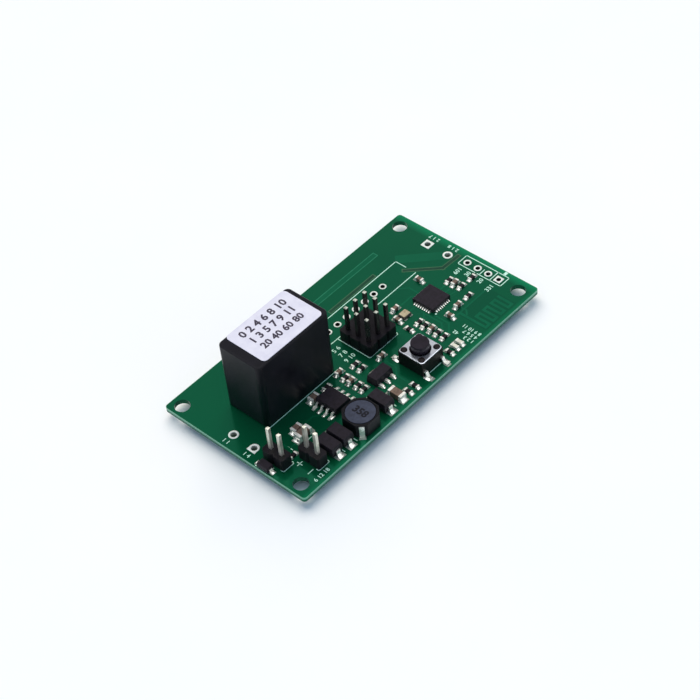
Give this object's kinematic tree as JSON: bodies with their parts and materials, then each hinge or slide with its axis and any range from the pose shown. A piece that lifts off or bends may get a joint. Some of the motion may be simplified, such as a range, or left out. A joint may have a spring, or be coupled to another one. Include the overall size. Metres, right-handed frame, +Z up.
{
  "type": "smart relay module",
  "caption": "Wireless relay board: a green circuit board with a sealed black relay, a push switch, pin headers, a shielded inductor and small chips, and holes for screws and wires.",
  "frame": {"origin": "below the middle of the board, level with the ends of the pins", "axes": "+X along the board towards the output wire holes, +Y across it away from the push switch, +Z up from the parts side"},
  "size_m": [0.0646, 0.0346, 0.0179],
  "materials": {
    "green_mask": "glossy green solder mask over glass laminate, pale at the cut edge",
    "tinned_copper": "tinned copper",
    "solder": "solder, smooth and bright",
    "black_case": "black plastic, satin",
    "label_paper": "white label, smooth",
    "bobbin_plastic": "natural plastic",
    "coil_wire": "enamelled copper wire",
    "relay_iron": "plated soft iron",
    "bronze_strip": "tinned bronze strip",
    "contact_silver": "silver contact metal",
    "header_plastic": "black moulded plastic",
    "pin_metal": "tinned pin metal, bright",
    "switch_plastic": "black moulded plastic",
    "stamped_steel": "stamped steel, satin",
    "lead_metal": "tinned leads",
    "moulding": "black moulding compound, fine grain",
    "crystal_ceramic": "ceramic tray",
    "crystal_lid": "pale gold plated lid",
    "ferrite": "black ferrite",
    "drum_ferrite": "grey ferrite, ground",
    "dark_glue": "dark glue",
    "capacitor_ceramic": "tan ceramic",
    "end_cap": "tinned end caps",
    "resistor_glass": "black glaze on ceramic",
    "lamp_resin": "clear pale resin"
  },
  "bodies": {
    "board": {"capacitor_bodies": "capacitor_ceramic", "capacitor_terminals": "end_cap", "circuit_board": "green_mask", "converter_chip_body": "moulding", "converter_chip_leads": "lead_metal", "crystal_base": "crystal_ceramic", "crystal_lid": "crystal_lid", "diode_bodies": "moulding", "diode_leads": "lead_metal", "inductor_drum": "drum_ferrite", "inductor_glue": "dark_glue", "inductor_shield": "ferrite", "inductor_terminals": "lead_metal", "inductor_winding": "coil_wire", "large_capacitor_bodies": "capacitor_ceramic", "large_capacitor_terminals": "end_cap", "led_bodies": "lamp_resin", "led_terminals": "end_cap", "pin_pads": "tinned_copper", "programming_pads": "tinned_copper", "radio_pads": "tinned_copper", "regulator_body": "moulding", "regulator_leads": "lead_metal", "relay_backstop": "bobbin_plastic", "relay_base": "black_case", "relay_bobbin": "bobbin_plastic", "relay_coil": "coil_wire", "relay_coil_pins": "pin_metal", "relay_common_terminal": "bronze_strip", "relay_core": "relay_iron", "relay_cover": "black_case", "relay_fixed_contact": "contact_silver", "relay_label": "label_paper", "relay_open_terminal": "bronze_strip", "relay_return_spring": "bronze_strip", "relay_yoke": "relay_iron", "resistor_bodies": "resistor_glass", "resistor_terminals": "end_cap", "selector_header_body": "header_plastic", "selector_header_pins": "pin_metal", "small_diode_body": "moulding", "small_diode_leads": "lead_metal", "solder_joints": "solder", "supply_header_body": "header_plastic", "supply_header_pins": "pin_metal", "surface_pads": "tinned_copper", "switch_contacts": "contact_silver", "switch_cover": "stamped_steel", "switch_dome": "stamped_steel", "switch_housing": "switch_plastic", "switch_legs": "lead_metal", "trigger_header_body": "header_plastic", "trigger_header_pins": "pin_metal", "wire_pads": "tinned_copper", "wireless_chip_body": "moulding", "wireless_chip_leads": "lead_metal"},
    "button": {"switch_button": "switch_plastic"},
    "armature": {"relay_armature": "relay_iron", "relay_contact_blade": "bronze_strip", "relay_moving_contact": "contact_silver"}
  },
  "joints": [
    {"name": "button_press", "type": "slide", "parent": "board", "child": "button", "axis": [0, 0, -1], "range_m": [0, 0.00025], "stiffness_N_per_m": 6000, "springref_m": -0.00005, "deforming": ["switch_dome"]},
    {"name": "armature_pull", "type": "hinge", "parent": "board", "child": "armature", "pos_m": [-0.02305, 0.0038, 0.01392], "axis": [0, 1, 0], "range_deg": [0, 3], "stiffness_Nm_per_rad": 0.02, "springref_deg": -2.86}
  ]
}
